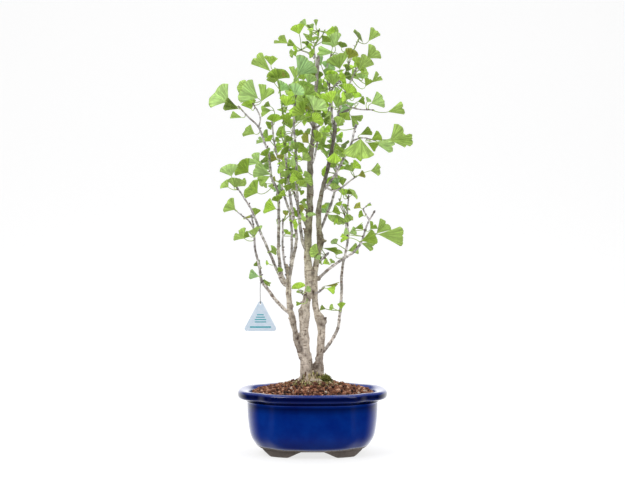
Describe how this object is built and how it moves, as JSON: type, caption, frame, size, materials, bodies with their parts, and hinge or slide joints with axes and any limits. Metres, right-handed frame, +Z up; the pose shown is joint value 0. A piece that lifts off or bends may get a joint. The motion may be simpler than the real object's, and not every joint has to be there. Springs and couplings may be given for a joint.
{
  "type": "ginkgo bonsai",
  "caption": "Ginkgo bonsai with upright trunks, slender branches and fan leaves, growing in soil in a lobed blue glazed pot on low feet.",
  "frame": {"origin": "centre of the box round the pot and tree, without the hanging tag and string, at the height of the feet", "axes": "+Z up along the trunks, +X to the right and -Y toward the viewer, along the pot's wide front"},
  "size_m": [0.341, 0.2108, 0.7286],
  "materials": {
    "glaze": "gloss",
    "drain_mesh": "matte",
    "soil": "matte",
    "bark": "matte",
    "leaf": "satin",
    "string": "matte",
    "tag": "gloss"
  },
  "bodies": {
    "root": {"pot": "glaze", "drain_mesh_left": "drain_mesh", "drain_mesh_right": "drain_mesh", "soil": "soil", "trunk": "bark", "low_left_spray": "leaf", "left_front_spray": "leaf", "left_tall_spray": "leaf", "left_short_spray": "leaf", "centre_left_spray": "leaf", "left_back_spray": "leaf", "centre_spray": "leaf", "centre_front_spray": "leaf", "centre_back_spray": "leaf", "centre_shoot_spray": "leaf", "top_spray": "leaf", "rear_left_spray": "leaf", "rear_right_spray": "leaf", "right_front_spray": "leaf", "right_back_spray": "leaf", "right_low_spray": "leaf", "upper_right_back_spray": "leaf", "upper_right_front_spray": "leaf", "left_rosette": "leaf", "right_low_rosette": "leaf", "right_mid_rosette": "leaf", "tag_string": "string", "tag": "tag"}
  },
  "joints": []
}
